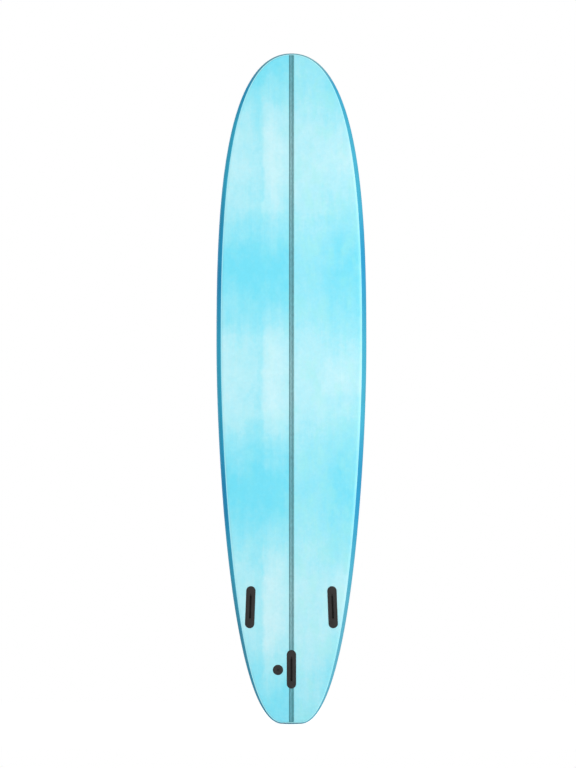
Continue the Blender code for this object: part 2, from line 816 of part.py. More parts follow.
def build():
    clear_scene()
    parts = new_collection("soft_top_surfboard")
    cutters = new_collection("cutters")
    surface = BoardSurface()

    # Skins: deck foam, rail foam and the slick bottom
    deck_columns = range(DECK_EDGE, DECK_MIDDLE + 1)
    rail_columns = range(RAIL_LOW_EDGE, RAIL_HIGH_EDGE + 1)
    slick_columns = range(BOTTOM_MIDDLE, SLICK_EDGE + 1)
    both = (1, -1)
    deck = add_object(
        "deck_skin", surface.sheet(surface.whole_rows, deck_columns, both, FOAM_SKIN), parts, "deck_foam"
    )
    for name, side in (("rail_strip_right", 1), ("rail_strip_left", -1)):
        strip = surface.sheet(surface.side_rows, rail_columns, (side,), FOAM_SKIN)
        smooth(add_object(name, strip, parts, "rail_foam"))
    skin = add_object(
        "bottom_skin", surface.sheet(surface.whole_rows, slick_columns, both, SLICK_SKIN), parts, "slick"
    )

    # Blank, sawn lengthwise and glued up with the stringer between its halves
    under_slick = [(column, SLICK_SKIN + GAP) for column in slick_columns]
    wrapped = [SLICK_EDGE, *range(RAIL_LOW_EDGE + 1, RAIL_HIGH_EDGE), *deck_columns]
    under_foam = [(column, FOAM_SKIN + GAP) for column in wrapped]
    blank = surface.closed_layer(under_slick + under_foam)
    slat = STRINGER_SLAT / 2
    veneer_in = slat + GAP
    veneer_out = veneer_in + STRINGER_VENEER
    core_in = veneer_out + GAP
    slices = {
        "foam_core_left": (None, -core_in, "core_foam"),
        "stringer_veneer_left": (-veneer_out, -veneer_in, "stringer_veneer"),
        "stringer_slat": (-slat, slat, "stringer_wood"),
        "stringer_veneer_right": (veneer_in, veneer_out, "stringer_veneer"),
        "foam_core_right": (core_in, None, "core_foam"),
    }
    blanks = {}
    for name, (low, high, finish) in slices.items():
        blanks[name] = add_object(name, slice_of(blank, low, high), parts, finish)
    blank.free()

    # Fin boxes
    for side, sign in (("left", -1), ("right", 1)):
        core = blanks["foam_core_" + side]
        hosts = {"skin": skin, "deck": deck, "blank": [core], "pocketed": [core], "bolted": [core]}
        frame = bottom_frame(
            sign * SIDE_BOX_X, SIDE_BOX_Z, surface.shift, sign * SIDE_BOX_TOE_IN
        )
        fin_box(side, frame, SIDE_PAD_LENGTH, 0.0, surface.shift, hosts, parts, cutters)
    stringer = [piece for name, piece in blanks.items() if name.startswith("stringer")]
    hosts = {
        "skin": skin,
        "deck": deck,
        "blank": list(blanks.values()),
        "pocketed": stringer,
        "bolted": stringer,
    }
    frame = bottom_frame(0.0, CENTRE_BOX_Z, surface.shift)
    fin_box("centre", frame, CENTRE_PAD_LENGTH, CENTRE_SLOT_SHIFT, surface.shift, hosts, parts, cutters)

    hosts = {"skin": skin, "deck": deck, "core": blanks["foam_core_left"]}
    leash_plug(bottom_frame(LEASH_X, LEASH_Z, surface.shift), surface.shift, hosts, parts, cutters)


build()
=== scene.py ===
import math

import bmesh
import bpy
from mathutils import Matrix, Vector


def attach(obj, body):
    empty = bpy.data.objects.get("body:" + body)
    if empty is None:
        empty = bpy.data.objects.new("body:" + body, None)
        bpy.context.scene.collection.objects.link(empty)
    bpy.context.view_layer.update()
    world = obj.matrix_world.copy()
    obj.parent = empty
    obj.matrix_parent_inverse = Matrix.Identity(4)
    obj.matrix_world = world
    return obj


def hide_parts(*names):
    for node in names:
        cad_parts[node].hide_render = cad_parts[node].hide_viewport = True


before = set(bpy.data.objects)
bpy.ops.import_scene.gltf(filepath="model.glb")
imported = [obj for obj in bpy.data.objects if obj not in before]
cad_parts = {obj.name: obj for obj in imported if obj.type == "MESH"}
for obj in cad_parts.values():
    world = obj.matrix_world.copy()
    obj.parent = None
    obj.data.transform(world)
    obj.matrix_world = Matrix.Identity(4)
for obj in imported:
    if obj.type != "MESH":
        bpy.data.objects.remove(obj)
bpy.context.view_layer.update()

# The board's own shape, the same sizes as in the CAD model (metres)
board = {
    "length": 2.743,
    "width": 0.613,
    "widePoint": 1.550,
    "noseHandle": 0.299,
    "noseSideHandle": 0.461,
    "tailSideHandle": 0.476,
    "tailHandle": 0.205,
    "tailBlock": 0.037,       # half the nearly straight end at the tail
    "tailCrown": 0.0012,
    "thickness": 0.086,
    "noseThickness": 0.034,
    "tailThickness": 0.036,
    "thickPoint": 1.371,
    "foilPower": 2.4,
    "noseRocker": 0.108,
    "tailRocker": 0.057,
    "flatSpot": 1.234,
    "noseRockerPower": 2.6,
    "tailRockerPower": 2.2,
    "apexShare": 0.42,
    "tuck": 0.030,
    "tuckEnd": 0.012,
    "roll": 0.055,
    "rollEnd": 0.022,
    "rollPower": 2.3,
    "crown": 0.014,
    "endPower": 4.0,
    "slickInset": 0.018,      # how far the slick stops short of the outline
    "slickInsetEnd": 0.0045,
    "slickPowerNose": 5.8,
    "slickPowerTail": 3.3,
    "seamInset": 0.010,       # the same for the deck foam
    "seamInsetEnd": 0.004,
    "gap": 0.0003,            # between one piece and the next
    "shift": -0.0699785,      # sets the thickness about y = 0
}


# Outline and side profile
def cubic(points, t):
    a, b, c, d = (Vector(p) for p in points)
    s = 1 - t
    place = a * s**3 + b * 3 * s * s * t + c * 3 * s * t * t + d * t**3
    way = (b - a) * s * s + (c - b) * 2 * s * t + (d - c) * t * t
    return place, way


def outlineRows(startX, blockRows=4, sideRows=62, bias=1.25):
    # points of the right-hand outline from tail to nose, each with its outward normal in plan
    half, block, length = board["width"] / 2, board["tailBlock"], board["length"]
    tail = (
        (block, board["tailCrown"]),
        (block + board["tailHandle"], board["tailCrown"]),
        (half, board["widePoint"] - board["tailSideHandle"]),
        (half, board["widePoint"]),
    )
    nose = (
        (0, length),
        (board["noseHandle"], length),
        (half, board["widePoint"] + board["noseSideHandle"]),
        (half, board["widePoint"]),
    )
    rows = []
    for k in range(blockRows):
        x = max(startX, block * k / blockRows)
        rows.append((Vector((x, board["tailCrown"] * (x / block) ** 2)), Vector((0, -1))))
    for k in range(sideRows):
        place, way = cubic(tail, (k / sideRows) ** bias)
        rows.append((place, Vector((way.y, -way.x)).normalized()))
    for k in range(sideRows, 0, -1):
        place, way = cubic(nose, (k / sideRows) ** bias)
        rows.append((place, Vector((-way.y, way.x)).normalized()))
    rows.append((Vector((startX, length)), Vector((0, 1))))
    return rows


def rocker(z):
    if z > board["flatSpot"]:
        share = (z - board["flatSpot"]) / (board["length"] - board["flatSpot"])
        return board["noseRocker"] * share ** board["noseRockerPower"]
    share = (board["flatSpot"] - z) / board["flatSpot"]
    return board["tailRocker"] * share ** board["tailRockerPower"]


def foil(z):
    middle = board["thickPoint"]
    end, share = board["tailThickness"], (middle - z) / middle
    if z > middle:
        end, share = board["noseThickness"], (z - middle) / (board["length"] - middle)
    return board["thickness"] - (board["thickness"] - end) * share ** board["foilPower"]


def along(z, end, middle, power):
    return end + (middle - end) * (1 - abs(2 * z / board["length"] - 1) ** power)


def edgeSizes(z):
    power = board["slickPowerNose"] if z > board["length"] / 2 else board["slickPowerTail"]
    return {
        "tuck": along(z, board["tuckEnd"], board["tuck"], board["endPower"]),
        "roll": along(z, board["rollEnd"], board["roll"], board["endPower"]),
        "slick": along(z, board["slickInsetEnd"], board["slickInset"], power),
        "seam": along(z, board["seamInsetEnd"], board["seamInset"], board["endPower"]),
    }


def underPoint(row, inset, tuck, share=1.0):
    place = row[0] - row[1] * inset
    reach = 1 - min(inset / tuck, 1)
    height = rocker(place.y) + board["apexShare"] * foil(place.y) * (1 - math.sqrt(1 - reach * reach))
    return Vector((place.x * share, height + board["shift"], place.y))


def deckHeight(x, z, inset=1.0, roll=1.0):
    apex = board["apexShare"] * foil(z)
    reach = 1 - min(inset / roll, 1)
    rise = (1 - reach ** board["rollPower"]) ** (1 / board["rollPower"])
    return rocker(z) + apex + (foil(z) - apex - board["crown"] * (2 * x / board["width"]) ** 2) * rise


def overPoint(row, inset, roll, share=1.0):
    place = row[0] - row[1] * inset
    x = place.x * share
    return Vector((x, deckHeight(x, place.y, inset, roll) + board["shift"], place.y))


# Each skin's cross-section on one side, at a share of it from 0 to 1: the point, and for the UV map how far
# it is from the skin's edge, or on the rail foam the share itself
def slickSection(row, share, flatShare=0.55):
    sizes = edgeSizes(row[0].y)
    tuck, inset = sizes["tuck"], sizes["slick"] + board["gap"] / 2
    if share <= flatShare:
        place = underPoint(row, tuck, tuck, share / flatShare)
        return place, tuck - inset + row[0].x * (1 - share / flatShare)
    turn = math.asin(1 - inset / tuck) * (share - flatShare) / (1 - flatShare)
    here = tuck * (1 - math.sin(turn))
    return underPoint(row, here, tuck), here - inset


def seamTurn(sizes, inwards):
    # where on the deck's rounding its foam meets the rail foam, or a little inwards of that
    reach = 1 - (sizes["seam"] + inwards) / sizes["roll"]
    return math.acos(reach ** (board["rollPower"] / 2))


def railSection(row, share, underShare=0.42):
    sizes = edgeSizes(row[0].y)
    if share <= underShare:
        start = math.asin(1 - (sizes["slick"] - board["gap"] / 2) / sizes["tuck"])
        turn = start + (math.pi / 2 - start) * share / underShare
        return underPoint(row, sizes["tuck"] * (1 - math.sin(turn)), sizes["tuck"]), share
    turn = seamTurn(sizes, -board["gap"] / 2) * (share - underShare) / (1 - underShare)
    reach = math.cos(turn) ** (2 / board["rollPower"])
    return overPoint(row, sizes["roll"] * (1 - reach), sizes["roll"]), share


def deckSection(row, share, crownShare=0.5):
    sizes = edgeSizes(row[0].y)
    if share <= crownShare:
        place = overPoint(row, sizes["roll"], sizes["roll"], share / crownShare)
        return place, sizes["roll"] - sizes["seam"] + row[0].x * (1 - share / crownShare)
    end = seamTurn(sizes, board["gap"] / 2)
    turn = math.pi / 2 + (end - math.pi / 2) * (share - crownShare) / (1 - crownShare)
    here = sizes["roll"] * (1 - math.cos(turn) ** (2 / board["rollPower"]))
    return overPoint(row, here, sizes["roll"]), here - sizes["seam"]


# Frame of a fitting on the bottom: +Z leaves the bottom face square, +Y runs to the nose
def bottomFrame(x, z, turn=0.0):
    step = 1e-4
    slope = (rocker(z + step) - rocker(z - step)) / (2 * step)
    lengthwise = Vector((0, slope, 1)).normalized()
    outwards = Vector((0, -1, slope)).normalized()
    axes = Matrix((lengthwise.cross(outwards), lengthwise, outwards)).transposed().to_4x4()
    place = Matrix.Translation((x, rocker(z) + board["shift"], z))
    return place @ axes @ Matrix.Rotation(turn, 4, "Z")


def depthToDeck(place, halvings=40):
    low, high = 0.0, 2 * board["thickness"]
    for _ in range(halvings):
        middle = (low + high) / 2
        point = place @ Vector((0, 0, -middle))
        if point.y < deckHeight(point.x, point.z) + board["shift"]:
            low = middle
        else:
            high = middle
    return low


# Materials. The sizes of their noise, cells, hatching and grain are in millimetres, and all else in metres
def linear(code):
    # an sRGB hex value, as a shader takes it
    parts = [int(code[k:k + 2], 16) / 255 for k in (1, 3, 5)]
    return (*[c / 12.92 if c <= 0.04045 else ((c + 0.055) / 1.055) ** 2.4 for c in parts], 1.0)


def feed(tree, node, inputs):
    # inputs in order or by name: numbers, hex colours, sockets, or nodes for their first live output
    pairs = inputs.items() if isinstance(inputs, dict) else enumerate(inputs)
    for key, value in pairs:
        if isinstance(value, bpy.types.Node):
            value = next(output for output in value.outputs if output.enabled)
        if isinstance(value, bpy.types.NodeSocket):
            tree.links.new(value, node.inputs[key])
        else:
            node.inputs[key].default_value = linear(value) if isinstance(value, str) else value


def addNode(tree, kind, inputs=(), stops=(), **settings):
    # one node with its settings, what feeds it, and the stops of a ramp.
    # A Mix takes its share as input 0, and two numbers as 2 and 3 or two colours as 6 and 7
    node = tree.nodes.new("ShaderNode" + kind)
    if kind == "Mix" and 6 in inputs:
        node.data_type = "RGBA"
    for name, value in settings.items():
        setattr(node, name, value)
    feed(tree, node, inputs)
    if stops:
        ramp = node.color_ramp
        ramp.elements[0].position, ramp.elements[1].position = stops[0][0], stops[-1][0]
        for position, _ in stops[1:-1]:
            ramp.elements.new(position)
        for element, (_, value) in zip(ramp.elements, stops):
            element.color = linear(value) if isinstance(value, str) else (value, value, value, 1)
    return node


def newMaterial(name):
    made = bpy.data.materials.new(name)
    made.use_nodes = True
    tree = made.node_tree
    return made, tree, tree.nodes["Principled BSDF"], addNode(tree, "TexCoord").outputs["Object"]


noiseWithin = (0.3, 0.7)      # nearly all of a noise lies between these


def patchy(tree, place, size, spread=None, within=noiseWithin, detail=2.0, roughness=0.5):
    # soft random patches of a real size, alike all ways or one size across, through and along the board.
    # Where a spread is given, the noise within the limits is stretched to it
    sizes = size if isinstance(size, tuple) else (size, size, size)
    scaled = addNode(tree, "Mapping", {"Vector": place, "Scale": [1000 / each for each in sizes]})
    made = addNode(tree, "TexNoise", {
        "Vector": scaled, "Scale": 1.0, "Detail": detail, "Roughness": roughness,
    })
    return addNode(tree, "MapRange", (made, *within, *spread)) if spread else made


def finishShader(tree, shader, finish, colour, height, rough=None, shade=None):
    # the colour with its shade over it, a bump of that height, roughness where it varies, and the finish's
    # own values
    if shade:
        colour = addNode(tree, "Mix", {0: 1.0, 6: colour, 7: shade}, blend_type="MULTIPLY")
    bump = addNode(tree, "Bump", {"Height": height, **finish["bump"]})
    feed(tree, shader, {"Base Color": colour, "Normal": bump, **finish["shader"]})
    if rough:
        feed(tree, shader, {"Roughness": rough})


tint = {
    "strong": "#68DDF3",
    "middle": "#97E6F4",
    "pale": "#C4F0F7",
    "repeat": 0.8994,         # the bands of tint come back every 0.9 m along the board
    "strongAt": 1.856,        # z of the middle of a strong band
    "cloud": 110,
    "cloudWander": (-0.040, 0.040),
    "streak": (38.46, 1000, 769.2),
    "streakWander": (-0.034, 0.034),
    "wanderWithin": (0.25, 0.75),
    "wobble": (200, 1000, 90.9),
    "wobbleBy": (-0.010, 0.010),
    # how much tint a pale band and a strong one have, from the board's left edge at 0 to its right edge at 1.
    # The tint is lower at the left edge as painted light there, where the key lamp leaves that edge in shade
    "inPale": (
        (0.03, 0.18), (0.20, 0.25), (0.28, 0.38), (0.303, 0.38), (0.324, 0.10), (0.37, 0.0), (0.43, 0.10),
        (0.47, 0.22), (0.70, 0.22), (0.76, 0.15), (0.83, 0.08), (0.90, 0.12), (0.96, 0.22),
    ),
    "inStrong": (
        (0.0, 0.88), (0.10, 1.0), (0.45, 1.0), (0.49, 0.92), (0.51, 0.62), (0.69, 0.66), (0.755, 0.84),
        (0.83, 0.90), (1.0, 0.94),
    ),
    # half the power that narrows the strong bands, because a ramp stops at 1
    "halfPower": (
        (0.04, 0.92), (0.16, 0.68), (0.30, 0.66), (0.32, 0.78), (0.47, 0.78), (0.51, 0.62), (0.70, 0.55),
        (0.77, 0.34), (1.0, 0.34),
    ),
    "tailLess": (0.46, 0.16, 0.0, 0.18),      # between two values of z, from this much less tint to that
    "noseLess": (2.62, 2.73, 0.0, 0.10),
    "mottle": 16,
    "mottleBy": (-0.058, 0.058),
    "smear": (41.67, 1000, 76.92),
    "smearBy": (-0.085, 0.085),
    "brush": (4.5, 1000, 111.1),
    "brushBy": (-0.022, 0.022),
    "green": "#9BEBE6",
    "greenPatch": (45, 45, 90),
    "greenWithin": (0.44, 0.66),
    "greenBy": (0.0, 0.30),
    "greenAcross": (0.42, 0.56, 0.35, 1.0),   # less of it left of the stringer
    "milk": 13,
    "milkBy": (0.974, 1.012),
}


def tintBands(tree, z, wander):
    # 0 in the middle of a pale band, 1 in the middle of a strong one
    moved = addNode(tree, "Math", (z, wander), operation="ADD")
    offStrong = addNode(tree, "Math", (moved, tint["strongAt"]), operation="SUBTRACT")
    turns = addNode(tree, "Math", (offStrong, 2 * math.pi / tint["repeat"]), operation="MULTIPLY")
    wave = addNode(tree, "Math", (turns,), operation="COSINE")
    return addNode(tree, "MapRange", (wave, -1.0, 1.0, 0.0, 1.0))


def cloudyTint(tree, place, x, z):
    # bands across the board whose edges run in streaks. Returns the colour and the bands
    within = tint["wanderWithin"]
    cloud = patchy(tree, place, tint["cloud"], tint["cloudWander"], within, detail=3.0, roughness=0.55)
    streak = patchy(tree, place, tint["streak"], tint["streakWander"], within)
    bands = tintBands(tree, z, addNode(tree, "Math", (cloud, streak), operation="ADD"))

    # how strong the tint is across the board, in a pale band and in a strong one, and less at the ends
    wobble = patchy(tree, place, tint["wobble"], tint["wobbleBy"], detail=3.0)
    wobbled = addNode(tree, "Math", (x, wobble), operation="ADD")
    across = addNode(tree, "MapRange", (wobbled, -board["width"] / 2, board["width"] / 2, 0.0, 1.0))
    inPale, inStrong, halfPower = (
        addNode(tree, "ValToRGB", (across,), tint[ramp]) for ramp in ("inPale", "inStrong", "halfPower")
    )
    power = addNode(tree, "Math", (halfPower, 2.0), operation="MULTIPLY")
    shaped = addNode(tree, "Math", (bands, power), operation="POWER")
    amount = addNode(tree, "Mix", {0: shaped, 2: inPale, 3: inStrong})
    for end in ("tailLess", "noseLess"):
        less = addNode(tree, "MapRange", (z, *tint[end]))
        amount = addNode(tree, "Math", (amount, less), operation="SUBTRACT")

    # mottling, smears and fine brush lines that lie over it
    for layer in (
        patchy(tree, place, tint["mottle"], tint["mottleBy"], detail=3.0, roughness=0.6),
        patchy(tree, place, tint["smear"], tint["smearBy"], detail=3.0, roughness=0.6),
        patchy(tree, place, tint["brush"], tint["brushBy"], detail=1.0),
    ):
        amount = addNode(tree, "Math", (amount, layer), operation="ADD")
    stops = ((0.0, tint["pale"]), (0.5, tint["middle"]), (1.0, tint["strong"]))
    colour = addNode(tree, "ValToRGB", (amount,), stops)
    patches = patchy(
        tree, place, tint["greenPatch"], tint["greenBy"], tint["greenWithin"], detail=3.0, roughness=0.6,
    )
    greenSide = addNode(tree, "MapRange", (across, *tint["greenAcross"]))
    greenish = addNode(tree, "Math", (patches, greenSide), operation="MULTIPLY")
    colour = addNode(tree, "Mix", {0: greenish, 6: colour, 7: tint["green"]})
    milky = patchy(tree, place, tint["milk"], tint["milkBy"], detail=3.0, roughness=0.65)
    colour = addNode(tree, "Mix", {0: 1.0, 6: colour, 7: milky}, blend_type="MULTIPLY")
    return colour, bands


# Stringer as it shows through the sheet, x from the middle of the board
stringer = {
    "band": (-0.0101, 0.0108),
    "darkLines": ((-0.012, -0.0061), (0.0019, 0.0061)),
    "edgeLines": ((-0.012, -0.0064), (0.0068, 0.012)),
    "edgeTint": "#E4F0F1",    # a little darker along the glued edges
    "blur": 0.0004,
    "slat": ("#7AAAAF", "#579DA9"),           # under a pale band and under a strong one
    "veneer": ("#578E95", "#35868F"),
    "grain": (1.1, 1000, 142.9),
    "grainBy": (0.92, 1.05),
    "figure": (3.846, 1000, 16.13),
    "figureBy": (-0.24, 0.24),
    "shade": (1000, 1000, 62.5),
    "shadeBy": (-0.06, 0.06),
}


def stripe(tree, x, low, high, blur, highX=None):
    # 1 between two places across the board. The high one may be measured by an x of its own
    rise = addNode(tree, "MapRange", (x, low - blur, low + blur, 0.0, 1.0))
    fall = addNode(tree, "MapRange", (highX or x, high - blur, high + blur, 1.0, 0.0))
    return addNode(tree, "Math", (rise, fall), operation="MULTIPLY")


def overStringer(tree, place, x, bands, colour):
    band = stripe(tree, x, *stringer["band"], stringer["blur"])
    dark, edges = (
        addNode(
            tree, "Math", [stripe(tree, x, *line, stringer["blur"]) for line in stringer[lines]],
            operation="MAXIMUM",
        )
        for lines in ("darkLines", "edgeLines")
    )
    slat, veneer = (
        addNode(tree, "Mix", {0: bands, 6: pale, 7: strong})
        for pale, strong in (stringer["slat"], stringer["veneer"])
    )
    wood = addNode(tree, "Mix", {0: dark, 6: slat, 7: veneer})
    grain = patchy(tree, place, stringer["grain"], stringer["grainBy"], detail=3.0, roughness=0.6)
    for layer in (
        patchy(tree, place, stringer["figure"], stringer["figureBy"], roughness=0.6),
        patchy(tree, place, stringer["shade"], stringer["shadeBy"]),
    ):
        grain = addNode(tree, "Math", (grain, layer), operation="ADD")
    for share, layer in ((1.0, grain), (edges, stringer["edgeTint"])):
        wood = addNode(tree, "Mix", {0: share, 6: wood, 7: layer}, blend_type="MULTIPLY")
    return addNode(tree, "Mix", {0: band, 6: colour, 7: wood})


# Bright pinline along the sheet's edge: the sheet's pale edge, painted stronger on the left and brighter and
# wider at the ends as painted light where that edge lies in shade
pinline = {
    "from": 0.0003,
    "to": 0.0037,
    "blur": 0.0004,
    "colour": "#A6F3FF",
    # stronger on the left: painted light on the edge that the key lamp leaves in shade
    "across": (-0.10, 0.10, 0.95, 0.42),      # between two values of x, from this strength to that
    # at the ends the line is brighter and wider: painted light where the ends slope away from the lamps into
    # shade
    "noseEnd": (2.56, 2.70, 0.0, 1.0),        # where in z it turns to the look that it has at the ends
    "tailEnd": (0.26, 0.08, 0.0, 1.0),
    "paintedEndLight": "#BCFAFF",
    "endLess": 0.0010,
}


def overPinline(tree, x, z, colour):
    # the distance from the sheet's edge is in its UV map
    edge = addNode(tree, "SeparateXYZ", (addNode(tree, "UVMap", uv_map="edgeDistance"),)).outputs["X"]
    ends = [addNode(tree, "MapRange", (z, *pinline[end])) for end in ("noseEnd", "tailEnd")]
    atEnds = addNode(tree, "Math", ends, operation="MAXIMUM")
    less = addNode(tree, "Math", (atEnds, pinline["endLess"]), operation="MULTIPLY")
    inner = addNode(tree, "Math", (edge, less), operation="ADD")
    line = stripe(tree, edge, pinline["from"], pinline["to"], pinline["blur"], inner)
    # stronger on the left and at the ends: painted light on a shaded edge
    paintedLightBySide = addNode(tree, "MapRange", (x, *pinline["across"]))
    strength = addNode(tree, "Math", (paintedLightBySide, atEnds), operation="MAXIMUM")
    share = addNode(tree, "Math", (line, strength), operation="MULTIPLY")
    # a brighter colour at the ends: painted light
    tone = addNode(tree, "Mix", {0: atEnds, 6: pinline["colour"], 7: pinline["paintedEndLight"]})
    return addNode(tree, "Mix", {0: share, 6: colour, 7: tone})


slickFinish = {
    "glossPatch": 29.41,
    "roughness": (0.29, 0.37),
    "peel": 5.263,
    "bump": {"Distance": 0.00012, "Strength": 0.35},
    "shader": {"IOR": 1.54},
}


def makeSlick():
    # Tinted high-density polyethylene sheet, thermoformed and bonded: cloudy, smooth and half gloss, with the
    # faint orange peel of a formed sheet, about 5 mm from crest to crest
    made, tree, shader, place = newMaterial("thermoformedPolyethylene")
    parts = addNode(tree, "SeparateXYZ", (place,)).outputs
    colour, bands = cloudyTint(tree, place, parts["X"], parts["Z"])
    colour = overStringer(tree, place, parts["X"], bands, colour)
    colour = overPinline(tree, parts["X"], parts["Z"], colour)
    rough = patchy(tree, place, slickFinish["glossPatch"], slickFinish["roughness"], detail=3.0)
    peel = patchy(tree, place, slickFinish["peel"])
    finishShader(tree, shader, slickFinish, colour, peel, rough)
    return made


railFoam = {
    # each tone on the left strip and on the right one. The foam is the same on both: the left tones are
    # darker as painted shade and the right ones lighter as painted light, from the key lamp on the right
    "strong": ("#1A8FC1", "#299BCA"),
    "pale": ("#30A8CA", "#43B0CE"),
    "nose": ("#5A9FB4", "#6FB2BF"),
    "tail": ("#3A92AF", "#5CB1C9"),
    "shadedLeftToLitRight": (-0.04, 0.04),
    "toNose": (2.58, 2.71),
    "toTail": (0.85, 0.30),
    "wander": 250,
    "wanderBy": (-0.05, 0.05),
    "bandPower": 1.7,
    "speck": 2.38,            # the real one has cells under 1 mm, drawn at 2.4 mm so that they show
    "speckBy": (0.93, 1.05),
    "cloud": 90.9,
    "cloudBy": (0.96, 1.04),
    "cell": 2.2,
    "cellHeight": 0.5,
    "dent": 38.46,
    "dentHeight": 1.4,
    "bump": {"Distance": 0.0006, "Strength": 0.4},
    "shader": {"Roughness": 0.66, "IOR": 1.45, "Specular IOR Level": 0.22},
}


def makeRailFoam():
    # Closed-cell polyethylene foam skin: matt and even, with a fine skin of cells and soft shallow dents
    made, tree, shader, place = newMaterial("closedCellRailFoam")
    parts = addNode(tree, "SeparateXYZ", (place,)).outputs
    # the left strip is painted darker and the right one lighter: painted shade and painted light of a lamp on
    # the right
    side = addNode(tree, "MapRange", (parts["X"], *railFoam["shadedLeftToLitRight"], 0.0, 1.0))
    strong, pale, nose, tail = (
        addNode(tree, "Mix", {0: side, 6: railFoam[tone][0], 7: railFoam[tone][1]})
        for tone in ("strong", "pale", "nose", "tail")
    )
    wander = patchy(tree, place, railFoam["wander"], railFoam["wanderBy"])
    bands = tintBands(tree, parts["Z"], wander)
    bands = addNode(tree, "Math", (bands, railFoam["bandPower"]), operation="POWER")
    colour = addNode(tree, "Mix", {0: bands, 6: pale, 7: strong})
    for tone, fade in ((nose, railFoam["toNose"]), (tail, railFoam["toTail"])):
        share = addNode(tree, "MapRange", (parts["Z"], *fade, 0.0, 1.0), interpolation_type="SMOOTHSTEP")
        colour = addNode(tree, "Mix", {0: share, 6: colour, 7: tone})
    speck = patchy(tree, place, railFoam["speck"], railFoam["speckBy"], roughness=0.6)
    cloud = patchy(tree, place, railFoam["cloud"], railFoam["cloudBy"], detail=3.0)
    shade = addNode(tree, "Math", (speck, cloud), operation="MULTIPLY")
    cells = addNode(tree, "TexVoronoi", {"Vector": place, "Scale": 1000 / railFoam["cell"]}, feature="F1")
    cells = addNode(tree, "Math", (cells, railFoam["cellHeight"]), operation="MULTIPLY")
    dents = patchy(tree, place, railFoam["dent"])
    dents = addNode(tree, "Math", (dents, railFoam["dentHeight"]), operation="MULTIPLY")
    height = addNode(tree, "Math", (cells, dents), operation="ADD")
    finishShader(tree, shader, railFoam, colour, height, shade=shade)
    return made


embossed = {
    "tones": ((0.3, "#1F8DBD"), (0.5, "#2595C4"), (0.7, "#2C9CCA")),
    "cloud": 200,
    "speck": 2.63,
    "speckBy": (0.94, 1.04),
    "pitch": 4.2,             # the real one has about 2 mm, drawn at twice that so that it shows
    "hatchTurn": math.radians(30),
    "grooveShadeBy": (0.94, 1.03),
    "glossPatch": 25,
    "roughness": (0.62, 0.74),
    "dent": 41.67,
    "dentHeight": 0.8,
    "bump": {"Distance": 0.0005, "Strength": 0.5},
    "shader": {"IOR": 1.45, "Specular IOR Level": 0.22},
}


def makeEmbossedFoam():
    # Closed-cell deck foam with the fine cross-hatch that an embossing roller leaves for grip: matt, with
    # soft small diamonds
    made, tree, shader, place = newMaterial("embossedPolyethyleneFoam")
    cloud = patchy(tree, place, embossed["cloud"], detail=3.0)
    colour = addNode(tree, "ValToRGB", (cloud,), embossed["tones"])
    speck = patchy(tree, place, embossed["speck"], embossed["speckBy"], roughness=0.6)
    crosses = []
    for turn in (embossed["hatchTurn"], -embossed["hatchTurn"]):
        turned = addNode(tree, "Mapping", {"Vector": place, "Rotation": (0.0, turn, 0.0)})
        # a wave texture of scale 1 has 20 radians to the metre
        scale = 2 * math.pi / 20 * 1000 / embossed["pitch"]
        wave = addNode(
            tree, "TexWave", {"Vector": turned, "Scale": scale}, wave_type="BANDS", bands_direction="X",
        )
        crosses.append(wave.outputs["Fac"])
    diamonds = addNode(tree, "Math", crosses, operation="MULTIPLY")
    # the grooves between the diamonds are darker: painted shade in the hollows of the hatch
    shade = addNode(tree, "MapRange", (diamonds, 0.0, 1.0, *embossed["grooveShadeBy"]))
    shade = addNode(tree, "Math", (speck, shade), operation="MULTIPLY")
    rough = patchy(tree, place, embossed["glossPatch"], embossed["roughness"], detail=3.0)
    dents = patchy(tree, place, embossed["dent"])
    dents = addNode(tree, "Math", (dents, embossed["dentHeight"]), operation="MULTIPLY")
    height = addNode(tree, "Math", (diamonds, dents), operation="ADD")
    finishShader(tree, shader, embossed, colour, height, rough, shade)
    return made


nylon = {
    "tones": ((0.3, "#1D1A19"), (0.5, "#221F1E"), (0.7, "#272423")),
    "cloud": 18.18,
    "speck": 1.11,
    "speckBy": (0.86, 1.12),
    "glossPatch": 8.33,
    "roughness": (0.46, 0.60),
    "grain": 0.625,           # the grain that the erosion leaves
    "bump": {"Distance": 0.00008, "Strength": 0.6},
    "shader": {"IOR": 1.53, "Specular IOR Level": 0.26},
}


def makeNylon():
    # Glass-filled nylon, moulded in a spark-eroded tool: charcoal, satin, with a fine even grain
    made, tree, shader, place = newMaterial("mouldedNylon")
    cloud = patchy(tree, place, nylon["cloud"], detail=3.0)
    colour = addNode(tree, "ValToRGB", (cloud,), nylon["tones"])
    speck = patchy(tree, place, nylon["speck"], nylon["speckBy"], roughness=0.6)
    rough = patchy(tree, place, nylon["glossPatch"], nylon["roughness"], detail=3.0)
    grain = patchy(tree, place, nylon["grain"], roughness=0.6)
    finishShader(tree, shader, nylon, colour, grain, rough, speck)
    return made


steels = {
    "stainlessSteel": {
        "tones": ((0.3, "#B9BBBC"), (0.7, "#D2D3D3")),
        "roughness": (0.29, 0.38),
        "mark": 3.33,
    },
    "blackOxideSteel": {
        "tones": ((0.3, "#282727"), (0.7, "#353433")),
        "roughness": (0.40, 0.54),
        "mark": 2.5,
    },
    "bump": {"Distance": 0.00004, "Strength": 0.4},
    "shader": {"Metallic": 1.0},
}


def makeSteel(name):
    # Turned steel: fine tool marks, three times as long as they are wide, break up its gloss
    steel = steels[name]
    made, tree, shader, place = newMaterial(name)
    marks = patchy(tree, place, (steel["mark"], steel["mark"], steel["mark"] / 3), detail=3.0)
    colour = addNode(tree, "ValToRGB", (marks,), steel["tones"])
    rough = addNode(tree, "MapRange", (marks, *noiseWithin, *steel["roughness"]))
    finishShader(tree, shader, steels, colour, marks, rough)
    return made


